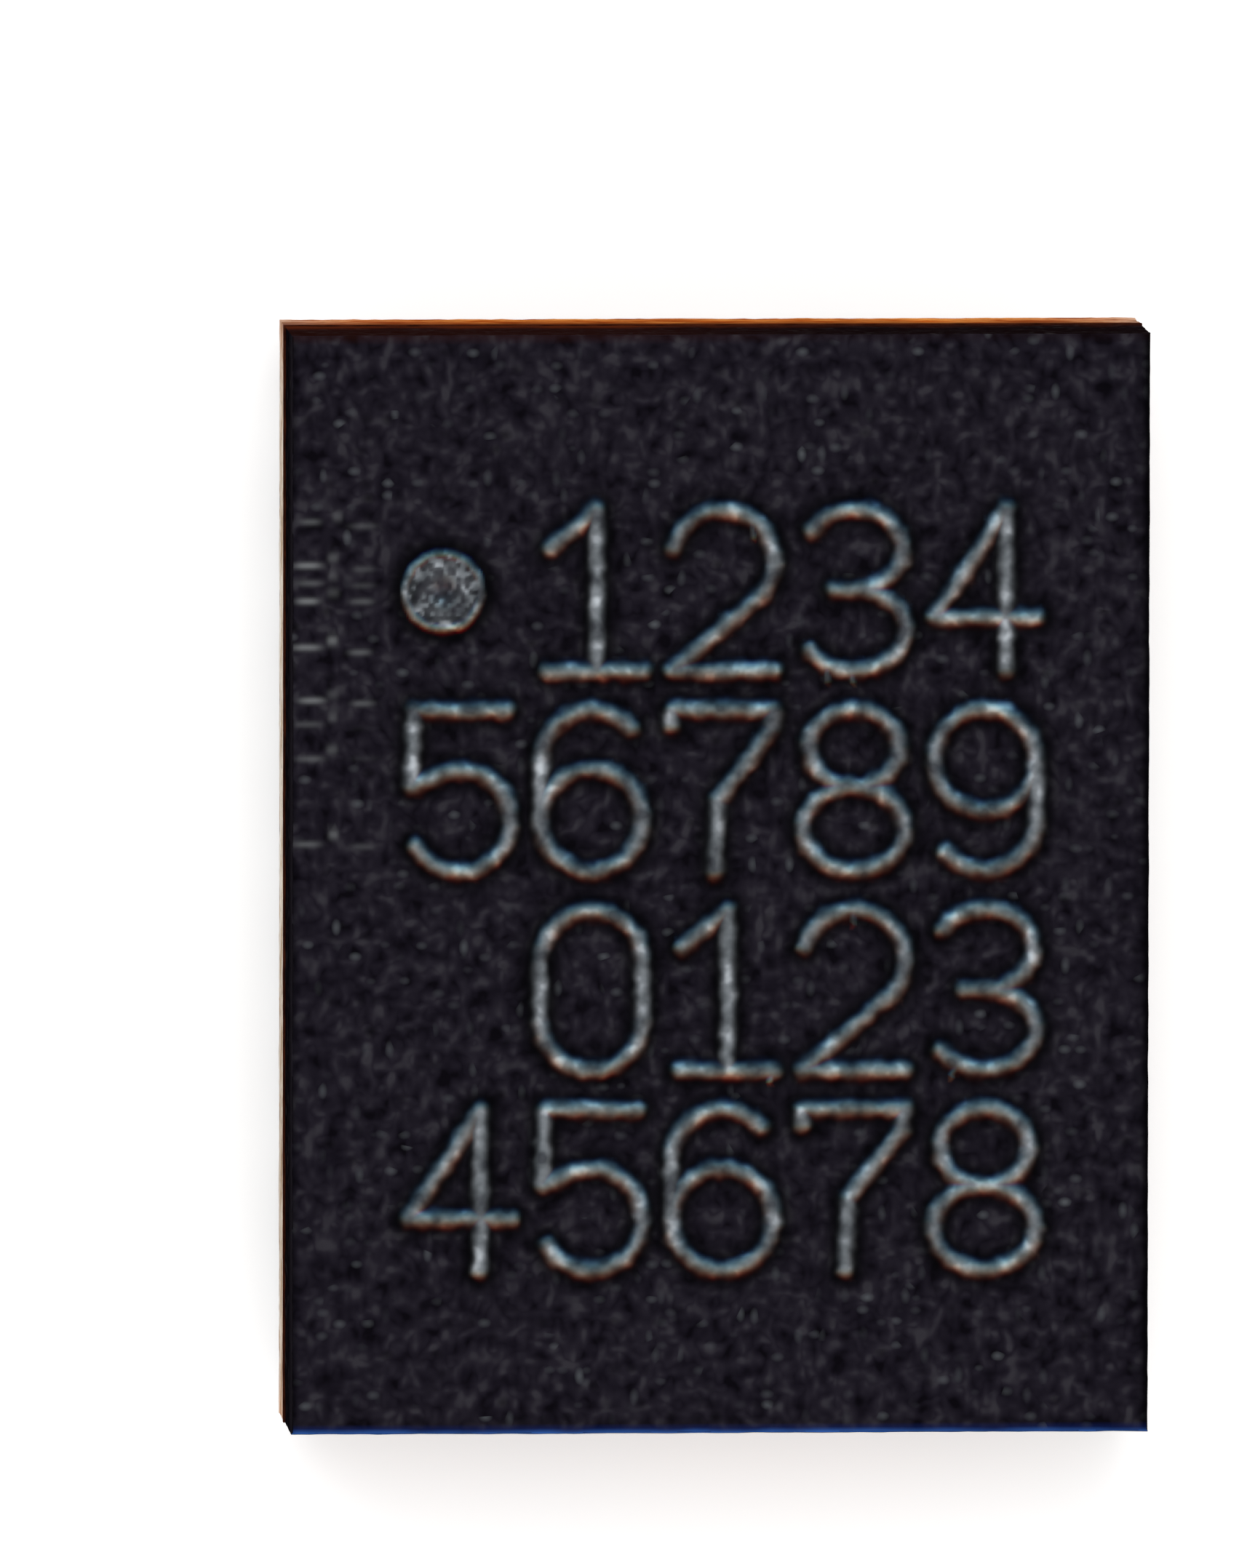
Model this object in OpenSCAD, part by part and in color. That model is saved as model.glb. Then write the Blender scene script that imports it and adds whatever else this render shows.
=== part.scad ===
// Chip-scale ball grid array package: a moulded cap over a flip chip on a two-layer laminate,
// with a full grid of solder balls under it. Millimetres. Z is up and the marked face is on top.
// The origin is on the seating plane under the middle of the package. X runs along the ball
// columns 1 to 6, Y along the rows G to A, so ball A1 and the pin 1 dot are at -X, +Y.

/* [Ball grid] */
// Distance between neighbouring balls
ball_pitch = 0.40; // [0.38:0.01:0.5]
// Number of ball columns
ball_columns = 6; // [4:1:6]
// Number of ball rows
ball_rows = 7; // [4:1:7]
// Diameter of a solder ball
ball_d = 0.262; // [0.24:0.002:0.3]
// Height of the laminate's underside over the seating plane
standoff = 0.17; // [0.15:0.005:0.21]

/* [Package] */
// Room from the outer columns' centres to the package side
side_margin = 0.21; // [0.18:0.01:0.5]
// Room from the outer rows' centres to the package end
end_margin = 0.35; // [0.33:0.01:0.6]
// Thickness of the moulded cap
mold_t = 0.37; // [0.36:0.01:0.9]

/* [Laminate] */
// Thickness of the glass-fibre core
core_t = 0.26; // [0.08:0.01:0.4]
// Thickness of each copper layer
copper_t = 0.018; // [0.012:0.001:0.03]
// Thickness of the solder mask that lies over the copper
mask_over_copper = 0.02; // [0.01:0.001:0.03]
// Bare laminate round the underside's mask
bare_edge = 0.05; // [0.03:0.005:0.08]
// How far the mask laps over the rim of a ball pad
mask_lap = 0.01; // [0.005:0.001:0.02]
// How far a ball's waist stands out past its mask opening
ball_lap = 0.01; // [0.005:0.001:0.02]

/* [Copper pattern] */
// Width of a trace
trace_w = 0.06; // [0.04:0.005:0.08]
// Diameter of the copper land round a via
land_d = 0.18; // [0.15:0.005:0.19]
// Outer diameter of a via's plated barrel
via_d = 0.10; // [0.08:0.005:0.12]
// Thickness of the barrel's wall
barrel_wall = 0.015; // [0.01:0.001:0.025]
// How far a ganged strip stands out past its ball pads
strip_lap = 0.004; // [0.002:0.001:0.02]
// Width of the plane that runs along row A
plane_w = 0.066; // [0.05:0.002:0.08]
// Gap between the plane and the pads that it passes
plane_gap = 0.045; // [0.03:0.005:0.05]
// Gap between the plane and the bar at its end
plane_end_gap = 0.044; // [0.03:0.002:0.06]
// Width of the tab on ball A5
tab_w = 0.13; // [0.08:0.01:0.14]
// How far the tab reaches inwards from the ball's centre
tab_reach = 0.21; // [0.15:0.01:0.22]
// Gap between the tab and the bar at its end
tab_end_gap = 0.07; // [0.03:0.01:0.1]
// Width of the bare copper bar at each end
bar_w = 0.02; // [0.01:0.002:0.03]
// Gap between a bar and the nearest land
bar_gap = 0.02; // [0.015:0.005:0.03]

/* [Die] */
// Room from the die to the package sides
die_side_margin = 0.21; // [0.15:0.01:0.23]
// Room from the die to the package ends
die_end_margin = 0.21; // [0.15:0.01:0.23]
// Thickness of the silicon
die_t = 0.2; // [0.1:0.01:0.24]
// Diameter of a copper pillar
pillar_d = 0.07; // [0.05:0.005:0.08]
// Height of a copper pillar
pillar_h = 0.045; // [0.03:0.005:0.06]
// Height of the solder between a pillar and its pad
solder_h = 0.025; // [0.022:0.001:0.035]
// Copper round the foot of the solder
bump_lap = 0.015; // [0.01:0.005:0.02]
// How far the pillars draw in on the middle, as a share of the via grid
fan_in = 0.86; // [0.8:0.01:0.95]

/* [Pin 1 dot] */
// Diameter of the dot
dot_d = 0.232; // [0.1:0.002:0.4]
// Depth of the dot
dot_depth = 0.012; // [0.006:0.001:0.03]
// Room from the dot's centre to the package side
dot_from_side = 0.43; // [0.3:0.002:0.8]
// Room from the dot's centre to the package end
dot_from_end = 0.724; // [0.3:0.001:1]

/* [Hidden] */
// Solder curves are drawn with many sides, and octagonal cut-outs with eight
$fn = 48;
octagon = 8;
// Extra length of a cutting shape past the face that it opens
past = 0.01;

// Package outline
body_w = (ball_columns - 1) * ball_pitch + 2 * side_margin;
body_l = (ball_rows - 1) * ball_pitch + 2 * end_margin;

// Heights of the layers, from the seating plane up
mask_t = copper_t + mask_over_copper;
copper_z = standoff + mask_over_copper;
core_z = copper_z + copper_t;
top_copper_z = core_z + core_t;
mold_z = top_copper_z + mask_t;
pillar_z = top_copper_z + copper_t + solder_h;
die_z = pillar_z + pillar_h;
top_z = mold_z + mold_t;

// A ball is a sphere that its solder joint holds above its middle
ball_r = ball_d / 2;
waist_d = 2 * sqrt(pow(ball_r, 2) - pow(standoff - ball_r, 2));
opening_d = waist_d - 2 * ball_lap;
pad_d = opening_d + 2 * mask_lap;
strip_w = pad_d + 2 * strip_lap;
bump_d = pillar_d + 2 * bump_lap;
plug_d = via_d - 2 * barrel_wall;
mask_w = body_w - 2 * bare_edge;
mask_l = body_l - 2 * (bare_edge + bar_w);

// Columns run from -X to +X and rows from +Y to -Y
last_column = ball_columns - 1;
last_row = ball_rows - 1;
ROW_NAMES = ["a", "b", "c", "d", "e", "f", "g"];
function column_x(c) = (c - last_column / 2) * ball_pitch;
function row_y(r) = (last_row / 2 - r) * ball_pitch;
function ball_place(b) = [column_x(b[0]), row_y(b[1])];
function ball_name(b) = str("ball_", ROW_NAMES[b[1]], b[0] + 1);
BALLS = [for (r = [0:last_row]) for (c = [0:last_column]) [c, r]];
BALL_PLACES = [for (b = BALLS) ball_place(b)];

// Vias sit between the balls, half a pitch away, and nearer in the last row to clear the bar
half_pitch = ball_pitch / 2;
end_drop = end_margin - bare_edge - bar_w - bar_gap - land_d / 2;
GRID_SITES = [
    for (r = [0:last_row]) for (c = [1:last_column - 1]) [column_x(c) - half_pitch, row_y(r) - half_pitch]
];
lowest_via_y = row_y(last_row) - end_drop;
SIGNAL_VIAS = [for (p = GRID_SITES) [p[0], max(p[1], lowest_via_y)]];

// The last column is ganged into two strips, and each has a via at its outer end
gang_x = column_x(last_column);
upper_gang_end = floor((ball_rows - 1) / 2) - 1;
strip_via_x = body_w / 2 - bare_edge - bar_gap - land_d / 2;
strip_via_y = body_l / 2 - bare_edge - bar_w - bar_gap - land_d / 2;
STRIP_VIAS = [[strip_via_x, strip_via_y], [strip_via_x, -strip_via_y]];
VIAS = concat(SIGNAL_VIAS, STRIP_VIAS);
// The die's bumps keep an even grid, drawn in on the middle
BUMPS = fan_in * concat(GRID_SITES, STRIP_VIAS);

// The plane runs outside the pads of row A, inside the bar
plane_y = mask_l / 2 - plane_end_gap - plane_w;

// A block centred on Z, standing at height z
module slab(w, l, z, h) {
    translate([-w / 2, -l / 2, z]) cube([w, l, h]);
}

// An upright disc at each of a list of places
module discs(places, d, z, h) {
    for (p = places) translate([p[0], p[1], z]) cylinder(d = d, h = h);
}

// A straight trace between two places in a layer that starts at height z
module trace(a, b, z) {
    run = b - a;
    turn = atan2(run[1], run[0]);
    translate([a[0], a[1], z]) rotate([0, 0, turn]) translate([0, -trace_w / 2, 0])
        cube([norm(run), trace_w, copper_t]);
}

// The mould compound flows round the die and its pillars, and the laser leaves the dot in its top
module mold_cap() color("#2b2930") difference() {
    slab(body_w, body_l, mold_z, mold_t);
    slab(body_w - 2 * die_side_margin, body_l - 2 * die_end_margin, die_z, die_t);
    discs(BUMPS, pillar_d, mold_z - past, die_z - mold_z + 2 * past);
    translate([dot_from_side - body_w / 2, body_l / 2 - dot_from_end, top_z - dot_depth])
        cylinder(d = dot_d, h = dot_depth + past);
}

module silicon_die() color("#4b5058")
    slab(body_w - 2 * die_side_margin, body_l - 2 * die_end_margin, die_z, die_t);

module copper_pillars() color("#c07a4a") discs(BUMPS, pillar_d, pillar_z, pillar_h);

module pillar_solder() color("#c4c6ca") discs(BUMPS, pillar_d, top_copper_z + copper_t, solder_h);

module top_solder_mask() color("#3b2a22") difference() {
    slab(body_w, body_l, top_copper_z, mask_t);
    top_copper_pattern();
    discs(BUMPS, pillar_d, top_copper_z, mask_t + past);
}

module top_copper_pattern() {
    discs(VIAS, land_d, top_copper_z, copper_t);
    discs(BUMPS, bump_d, top_copper_z, copper_t);
    for (i = [0:len(VIAS) - 1]) trace(VIAS[i], BUMPS[i], top_copper_z);
}

module top_copper() color("#c67c48") top_copper_pattern();

module laminate_core() color("#b08d55") difference() {
    slab(body_w, body_l, core_z, core_t);
    discs(VIAS, via_d, core_z - past, core_t + 2 * past);
}

module via_barrels() color("#c07a4a") difference() {
    discs(VIAS, via_d, core_z, core_t);
    discs(VIAS, plug_d, core_z - past, core_t + 2 * past);
}

module via_plugs() color("#a8935f") discs(VIAS, plug_d, core_z, core_t);

// Copper that gangs the balls of the last column, from one row down to another
module strip(first_row, end_row) {
    length = row_y(first_row) - row_y(end_row) + strip_w;
    corner = strip_w / 4;
    translate([gang_x, (row_y(first_row) + row_y(end_row)) / 2, copper_z]) linear_extrude(copper_t)
        polygon([
            [-strip_w / 2, corner - length / 2],
            [corner - strip_w / 2, -length / 2],
            [strip_w / 2 - corner, -length / 2],
            [strip_w / 2, corner - length / 2],
            [strip_w / 2, length / 2 - corner],
            [strip_w / 2 - corner, length / 2],
            [corner - strip_w / 2, length / 2],
            [-strip_w / 2, length / 2 - corner]
        ]);
}

// The upper strip narrows to a sense trace that runs on to the lower one
module sense_trace() {
    trace(
        [gang_x + strip_w / 4, row_y(upper_gang_end)],
        [gang_x + strip_w / 4, row_y(upper_gang_end + 1)],
        copper_z
    );
}

// The ball at each strip's outer end reaches the strip's via, however far out the via lies
module strip_via_traces() {
    trace(ball_place([last_column, 0]), STRIP_VIAS[0], copper_z);
    trace(ball_place([last_column, last_row]), STRIP_VIAS[1], copper_z);
}

// Balls in the first two columns share a via, and those of the middle columns have one each
module ball_traces() {
    for (r = [0:last_row]) {
        trace([column_x(0), row_y(r)], SIGNAL_VIAS[r * (last_column - 1)], copper_z);
        for (c = [1:last_column - 1])
            trace([column_x(c), row_y(r)], SIGNAL_VIAS[r * (last_column - 1) + c - 1], copper_z);
    }
}

// A plane along row A, with a leg between columns 2 and 3 and one that takes in a column 4 ball
module row_a_plane() {
    difference() {
        union() {
            translate([column_x(0) - pad_d / 2, plane_y, copper_z])
                cube([column_x(2) - column_x(0) + half_pitch + pad_d / 2, plane_w, copper_t]);
            translate([column_x(2) - half_pitch - trace_w / 2, row_y(0) - trace_w, copper_z])
                cube([trace_w, plane_y - row_y(0) + 2 * trace_w, copper_t]);
            translate([column_x(2) + half_pitch - trace_w, row_y(0) - trace_w / 2, copper_z])
                cube([half_pitch, plane_y - row_y(0) + plane_w + trace_w / 2, copper_t]);
        }
        for (c = [1:2]) translate([column_x(c), row_y(0), copper_z - past]) rotate([0, 0, 22.5])
            cylinder(d = pad_d + 2 * plane_gap, h = copper_t + 2 * past, $fn = octagon);
    }
    translate([column_x(0) - trace_w / 2, row_y(0), copper_z])
        cube([trace_w, plane_y - row_y(0) + plane_w / 2, copper_t]);
}

// A broad tab through the row A pad beside the ganged column
module row_a_tab() {
    low_y = row_y(0) - tab_reach;
    translate([column_x(last_column - 1) - tab_w / 2, low_y, copper_z])
        cube([tab_w, mask_l / 2 - tab_end_gap - low_y, copper_t]);
}

module bottom_copper_pattern() {
    discs(BALL_PLACES, pad_d, copper_z, copper_t);
    discs(VIAS, land_d, copper_z, copper_t);
    ball_traces();
    strip(0, upper_gang_end);
    strip(upper_gang_end + 1, last_row);
    strip_via_traces();
    sense_trace();
    row_a_plane();
    row_a_tab();
}

module bottom_copper() color("#c67c48") bottom_copper_pattern();

// Bare copper bars left from the panel's plating lines, outside the mask at each end
module end_bars() color("#e3b98c") {
    for (side = [-1, 1]) translate([0, side * (mask_l + bar_w) / 2, 0])
        slab(mask_w, bar_w, copper_z, copper_t);
}

module bottom_solder_mask() color("#2e201c") difference() {
    slab(mask_w, mask_l, standoff, mask_t);
    bottom_copper_pattern();
    discs(BALL_PLACES, opening_d, standoff - past, mask_t + 2 * past);
}

// A sphere cut off at the mask, with a neck that fills the mask's opening down to the pad
module solder_ball(p) color("#c9ccd0") translate([p[0], p[1], 0]) {
    difference() {
        translate([0, 0, ball_r]) sphere(r = ball_r);
        translate([-ball_d, -ball_d, standoff]) cube([2 * ball_d, 2 * ball_d, ball_d]);
    }
    translate([0, 0, ball_r]) cylinder(d = opening_d, h = copper_z - ball_r);
}

mold_cap();
silicon_die();
copper_pillars();
pillar_solder();
top_solder_mask();
top_copper();
laminate_core();
via_barrels();
via_plugs();
bottom_copper();
end_bars();
bottom_solder_mask();
for (b = BALLS) solder_ball(ball_place(b));
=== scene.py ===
"""Visual model of a moulded chip-scale ball grid array package, dressed on its CAD frame."""
import math

import bpy
import numpy as np
from mathutils import Matrix, Vector
from mathutils.bvhtree import BVHTree

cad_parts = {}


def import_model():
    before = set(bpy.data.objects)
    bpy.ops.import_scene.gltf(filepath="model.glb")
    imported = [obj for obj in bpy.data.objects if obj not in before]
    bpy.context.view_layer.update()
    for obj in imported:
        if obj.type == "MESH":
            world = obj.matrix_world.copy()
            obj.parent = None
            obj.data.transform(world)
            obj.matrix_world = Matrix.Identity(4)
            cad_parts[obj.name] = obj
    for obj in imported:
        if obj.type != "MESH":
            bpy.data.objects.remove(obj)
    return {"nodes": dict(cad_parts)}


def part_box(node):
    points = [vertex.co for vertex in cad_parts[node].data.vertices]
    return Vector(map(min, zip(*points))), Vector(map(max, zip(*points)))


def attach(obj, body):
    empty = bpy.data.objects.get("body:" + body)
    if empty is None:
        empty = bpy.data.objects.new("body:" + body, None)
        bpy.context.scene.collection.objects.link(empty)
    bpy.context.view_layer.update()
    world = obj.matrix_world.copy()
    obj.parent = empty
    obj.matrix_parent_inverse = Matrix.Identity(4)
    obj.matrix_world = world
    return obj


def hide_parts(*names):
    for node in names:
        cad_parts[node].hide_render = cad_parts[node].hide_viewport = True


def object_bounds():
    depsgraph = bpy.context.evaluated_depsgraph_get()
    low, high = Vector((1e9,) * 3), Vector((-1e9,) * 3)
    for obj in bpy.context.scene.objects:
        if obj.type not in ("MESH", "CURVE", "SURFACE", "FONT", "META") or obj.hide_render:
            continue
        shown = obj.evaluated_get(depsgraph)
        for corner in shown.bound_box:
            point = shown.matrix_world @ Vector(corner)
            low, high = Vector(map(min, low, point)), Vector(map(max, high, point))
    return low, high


MM = 0.001
BODY = "root"

# Marking: plain counting digits in single strokes, beside the pin 1 dot
ROWS_OF_DIGITS = [" 1234", "56789", " 0123", "45678"]
FIRST_ROW_Y = 0.828 * MM
ROW_STEP = 0.563 * MM
MIDDLE_COLUMN_X = 0.006 * MM
COLUMN_STEP = 0.369 * MM
DIGIT_W = 0.288 * MM
DIGIT_H = 0.454 * MM
STROKE_W = 0.028 * MM
GROOVE_DEPTH = 0.007 * MM
BURR_HEIGHT = 0.0016 * MM
# How far red, green and blue lie from a stroke's middle, and how much of the tint follows them. This paints
# cool light on the strokes' +Y edges and warm light on their -Y edges.
TINT_SHIFTS = (0.0065 * MM, -0.002 * MM, -0.0065 * MM)
TINT_SHARE = 0.62
# The pin 1 dot
DOT_FROM_SIDE = 0.43 * MM
DOT_FROM_END = 0.724 * MM
DOT_R = 0.114 * MM
DOT_DEPTH = 0.007 * MM
DOT_RIM = 0.026 * MM

# Scuffs: how far each row lies from the +Y end, and how strongly it shows
SCUFF_ROWS = [
    (0.53 * MM, 0.4), (0.655 * MM, 0.85), (0.703 * MM, 0.4), (0.752 * MM, 1.0), (0.882 * MM, 0.8),
    (1.03 * MM, 0.85), (1.1 * MM, 0.3), (1.195 * MM, 0.35), (1.43 * MM, 0.45),
]
# The dashes of a row, in mm: start and end from the -X side, rise over the row, and the most and the
# least that each may show
SCUFF_DASHES = [(0.018, 0.09, 0, 1.0, 0.8), (0.108, 0.142, 0.02, 1.0, 0.2), (0.165, 0.24, -0.004, 0.6, 0.0)]
SCUFF_HALF_WIDTH = 0.0085 * MM
SCUFFS_REACH = 0.25 * MM
SCUFF_BAND = 0.045 * MM

# Seeds for what is scattered at random
SPUR_SEED = 11
SCUFF_SEED = 21
BALL_SEED = 100

# Mesh detail: the marked face is cut in halves and then finely as it nears a stroke
TOP_CELL = 0.024 * MM
TOP_SPLIT = 4
MARK_REACH = 0.15 * MM
HALVED_WITHIN = 0.066 * MM
FINE_WITHIN = 0.042 * MM
WALL_CELL = 0.02 * MM
CORE_CELL = 0.03 * MM
CORE_WALL_CELL = 0.008 * MM
MASK_CELL = 0.012 * MM
MASK_WALL_CELL = 0.01 * MM
BALL_SEGMENTS = 64
BALL_RINGS = 40
RIM_STEPS = 4
CORNER_STEPS = 4

# Edges: the rounding of the rims, the wear on the long walls, and how far the top sinks inside its box
RIM = 0.006 * MM
SIDE_WEAR = 0.003 * MM
TOP_SINK = 0.0018 * MM
# A direction points along an axis when its share there is over this
STEEP = 0.7

# Sawn laminate: its plies, and the distance between neighbouring bundles of glass
PLIES = 2
BUNDLE_PITCH = 0.3 * MM


# ---------------------------------------------------------------- noise

class Field:
    """Smooth repeatable noise over a plane, between -1 and 1."""

    SIZE = 256

    def __init__(self, seed):
        self.table = np.random.default_rng(seed).uniform(-1, 1, (self.SIZE, self.SIZE))

    def at(self, x, y, grain):
        """The noise at x, y, with one wave about every 2 grains."""
        x, y = np.asarray(x) / grain, np.asarray(y) / grain
        i, j = np.floor(x).astype(int), np.floor(y).astype(int)
        u, v = x - i, y - j
        u, v = u * u * (3 - 2 * u), v * v * (3 - 2 * v)
        i, j = i % self.SIZE, j % self.SIZE
        i1, j1 = (i + 1) % self.SIZE, (j + 1) % self.SIZE
        t = self.table
        low = t[i, j] * (1 - u) + t[i1, j] * u
        high = t[i, j1] * (1 - u) + t[i1, j1] * u
        return low * (1 - v) + high * v


# One field for each kind of unevenness
WOBBLE, RIPPLE, GRIT, CHIP, FRAY, LUMPS = (Field(seed) for seed in (3, 4, 5, 6, 8, 9))


def smooth_step(low, high, value):
    t = np.clip((value - low) / (high - low), 0, 1)
    return t * t * (3 - 2 * t)


# ---------------------------------------------------------------- digits

def arc(cx, cy, rx, ry, start, end, steps=12):
    """Points on an ellipse from one angle to another, in degrees."""
    angles = np.radians(np.linspace(start, end, steps))
    return [(cx + rx * math.cos(a), cy + ry * math.sin(a)) for a in angles]


def digit_strokes(digit):
    """Centre lines of a digit in a box from -1 to 1 across and -t to t up, as lists of points."""
    t = DIGIT_H / DIGIT_W
    low, high = 1 - t, t - 1
    six = [arc(0, low, 1, 1, 180, 540, 28), [(-1, low), (-1, high)] + arc(0, high, 1, 1, 180, 40)]
    shapes = {
        "0": [[(1, low), (1, high)] + arc(0, high, 1, 1, 0, 180)
              + [(-1, low)] + arc(0, low, 1, 1, 180, 360)],
        "1": [[(-0.8, t - 0.75), (0.1, t), (0.1, -t)], [(-0.85, -t), (1, -t)]],
        "2": [arc(0, high, 1, 1, 165, -40, 18) + [(-1, -t), (1, -t)]],
        "3": [arc(0, t / 2, 0.95, t / 2, 150, -90, 18) + arc(0, -t / 2, 1, t / 2, 90, -150, 18),
              [(-0.4, 0), (0, 0)]],
        "4": [[(0.4, -t), (0.4, t), (-1, -0.35 * t), (1, -0.35 * t)]],
        "5": [[(0.9, t), (-0.9, t), (-0.95, 0.1)] + arc(0, low, 1, 1, 125, -150, 20)],
        "6": six,
        "7": [[(-1, t - 0.3), (-1, t), (1, t), (0.95, t - 0.4), (-0.1, -0.2), (-0.15, -t)]],
        "8": [arc(0, 0.52 * t, 0.88, 0.48 * t, 0, 360, 24), arc(0, -0.48 * t, 1, 0.52 * t, 0, 360, 24)],
        "9": [[(-x, -y) for x, y in line] for line in six],
    }
    return shapes[digit]


def marking_segments():
    """Every straight piece of every digit on the top face, as rows of x0, y0, x1, y1."""
    pieces = []
    for row, text in enumerate(ROWS_OF_DIGITS):
        for column, digit in enumerate(text):
            if digit == " ":
                continue
            x = MIDDLE_COLUMN_X + (column - 2) * COLUMN_STEP
            y = FIRST_ROW_Y - row * ROW_STEP
            for line in digit_strokes(digit):
                points = np.array(line) * DIGIT_W / 2 + (x, y)
                pieces += [(*a, *b) for a, b in zip(points[:-1], points[1:])]
    pieces = np.array(pieces)
    return pieces[np.hypot(pieces[:, 2] - pieces[:, 0], pieces[:, 3] - pieces[:, 1]) > 0.001 * MM]


def spur_segments(segments, count=9):
    """Short burrs that run off a few strokes, where the beam skipped."""
    pick = np.random.default_rng(SPUR_SEED)
    spurs = []
    for k in pick.choice(len(segments), count, replace=False):
        x, y = segments[k, 2:]
        angle = pick.uniform(-2.4, -0.7)
        reach = pick.uniform(0.03, 0.055) * MM
        spurs.append((x, y, x + reach * math.cos(angle), y + reach * math.sin(angle)))
    return np.array(spurs)


def distance_to(segments, x, y, reach):
    """Distance from each point to the nearest segment, or reach where it is further."""
    best = np.full(x.shape, reach)
    for x0, y0, x1, y1 in segments:
        near = np.flatnonzero(
            (x > min(x0, x1) - reach) & (x < max(x0, x1) + reach)
            & (y > min(y0, y1) - reach) & (y < max(y0, y1) + reach)
        )
        if not len(near):
            continue
        px, py = x[near] - x0, y[near] - y0
        dx, dy = x1 - x0, y1 - y0
        along = np.clip((px * dx + py * dy) / (dx * dx + dy * dy), 0, 1)
        best[near] = np.minimum(best[near], np.hypot(px - along * dx, py - along * dy))
    return best


# ---------------------------------------------------------------- meshes

def make_piece(name, points, faces, node, materials):
    """A shaded mesh object that rides on the body and stands for a CAD node."""
    mesh = bpy.data.meshes.new(name)
    mesh.from_pydata([tuple(p) for p in points], [], faces)
    mesh.update()
    mesh.shade_smooth()
    piece = bpy.data.objects.new(name, mesh)
    bpy.context.scene.collection.objects.link(piece)
    for material in materials:
        mesh.materials.append(material)
    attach(piece, BODY)
    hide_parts(node)
    return piece


def add_values(piece, name, values):
    """A number for each point of a mesh, for its material to read."""
    attribute = piece.data.attributes.new(name, "FLOAT", "POINT")
    attribute.data.foreach_set("value", np.asarray(values, np.float32))


def lattice_faces(levels, split):
    """Polygons over a square lattice. levels holds each coarse cell's number of cuts, 1, 2 or split.
    Returns the used lattice points and the faces over them, joined along every change of size."""
    nx, ny = levels.shape
    used = np.zeros((nx * split + 1, ny * split + 1), bool)
    cells = []
    for i in range(nx):
        for j in range(ny):
            size = split // levels[i, j]
            for a in range(i * split, (i + 1) * split, size):
                for b in range(j * split, (j + 1) * split, size):
                    cells.append((a, b, size))
            used[i * split:(i + 1) * split + 1:size, j * split:(j + 1) * split + 1:size] = True
    index = np.full(used.shape, -1)
    index[used] = np.arange(used.sum())
    faces = []
    for a, b, s in cells:
        walk = [(a + k, b) for k in range(s)] + [(a + s, b + k) for k in range(s)]
        walk += [(a + s - k, b + s) for k in range(s)] + [(a, b + s - k) for k in range(s)]
        faces.append([int(index[p]) for p in walk if used[p]])
    return np.argwhere(used), index, faces


def rim_ring(index, split):
    """The lattice's outer corners in order, each with its outward direction, fanned at the four corners."""
    nx, ny = (n // split for n in (index.shape[0] - 1, index.shape[1] - 1))
    top = [(i * split, 0) for i in range(nx)] + [(nx * split, j * split) for j in range(ny)]
    top += [((nx - i) * split, ny * split) for i in range(nx)] + [(0, (ny - j) * split) for j in range(ny)]
    sides = [-90] * nx + [0] * ny + [90] * nx + [180] * ny
    corners = {0: (-180, -90), nx: (-90, 0), nx + ny: (0, 90), 2 * nx + ny: (90, 180)}
    ring = []
    for k, (place, angle) in enumerate(zip(top, sides)):
        start, end = corners.get(k, (angle, angle))
        steps = CORNER_STEPS if k in corners else 1
        for step in range(steps):
            turn = math.radians(start + (end - start) * step / max(steps - 1, 1))
            ring.append((int(index[place]), math.cos(turn), math.sin(turn)))
    return ring


def add_walls(points, faces, ring, drops):
    """Rows of quads down from the ring. drops lists (how far out, how far down) for each row."""
    last = [vertex for vertex, _, _ in ring]
    base = [points[vertex] for vertex in last]
    for out, down in drops:
        row = list(range(len(points), len(points) + len(ring)))
        points += [(b[0] + nx * out, b[1] + ny * out, b[2] - down) for b, (_, nx, ny) in zip(base, ring)]
        for k in range(len(ring)):
            m = (k + 1) % len(ring)
            face = [last[k], row[k], row[m], last[m]]
            faces.append([v for n, v in enumerate(face) if v != face[n - 1]])
        last = row
    return last


def wall_drops(height, rim, cell):
    """Rows for a rounded top rim, a straight wall and a rounded bottom rim."""
    angles = np.linspace(0, math.pi / 2, RIM_STEPS + 1)[1:]
    arc_rows = [(rim * math.sin(a), rim * (1 - math.cos(a))) for a in angles]
    count = max(2, round((height - 2 * rim) / cell))
    wall = [(rim, rim + (height - 2 * rim) * k / count) for k in range(1, count + 1)]
    low = [(out, height - down) for out, down in reversed(arc_rows[:-1])] + [(0, height)]
    return arc_rows + wall + low


def slab(low, high, levels, split, rim, wall_cell):
    """A closed block with rounded rims and a lattice on its top. Returns points, faces, the number of
    top points, and for each point its outward direction where it is on a wall."""
    spots, index, faces = lattice_faces(levels, split)
    steps = np.array([levels.shape[0] * split, levels.shape[1] * split])
    inner_low = np.array(low[:2]) + rim
    size = np.array(high[:2]) - np.array(low[:2]) - 2 * rim
    flat = inner_low + spots * size / steps
    points = [(x, y, high[2]) for x, y in flat]
    top_count = len(points)
    ring = rim_ring(index, split)
    bottom = add_walls(points, faces, ring, wall_drops(high[2] - low[2], rim, wall_cell))
    faces.append(list(reversed(bottom)))
    outward = np.zeros((len(points), 2))
    directions = np.array([(nx, ny) for _, nx, ny in ring])
    rows = (len(points) - top_count) // len(ring)
    outward[top_count:] = np.tile(directions, (rows, 1))
    return np.array(points), faces, top_count, outward


# ---------------------------------------------------------------- materials

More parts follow.
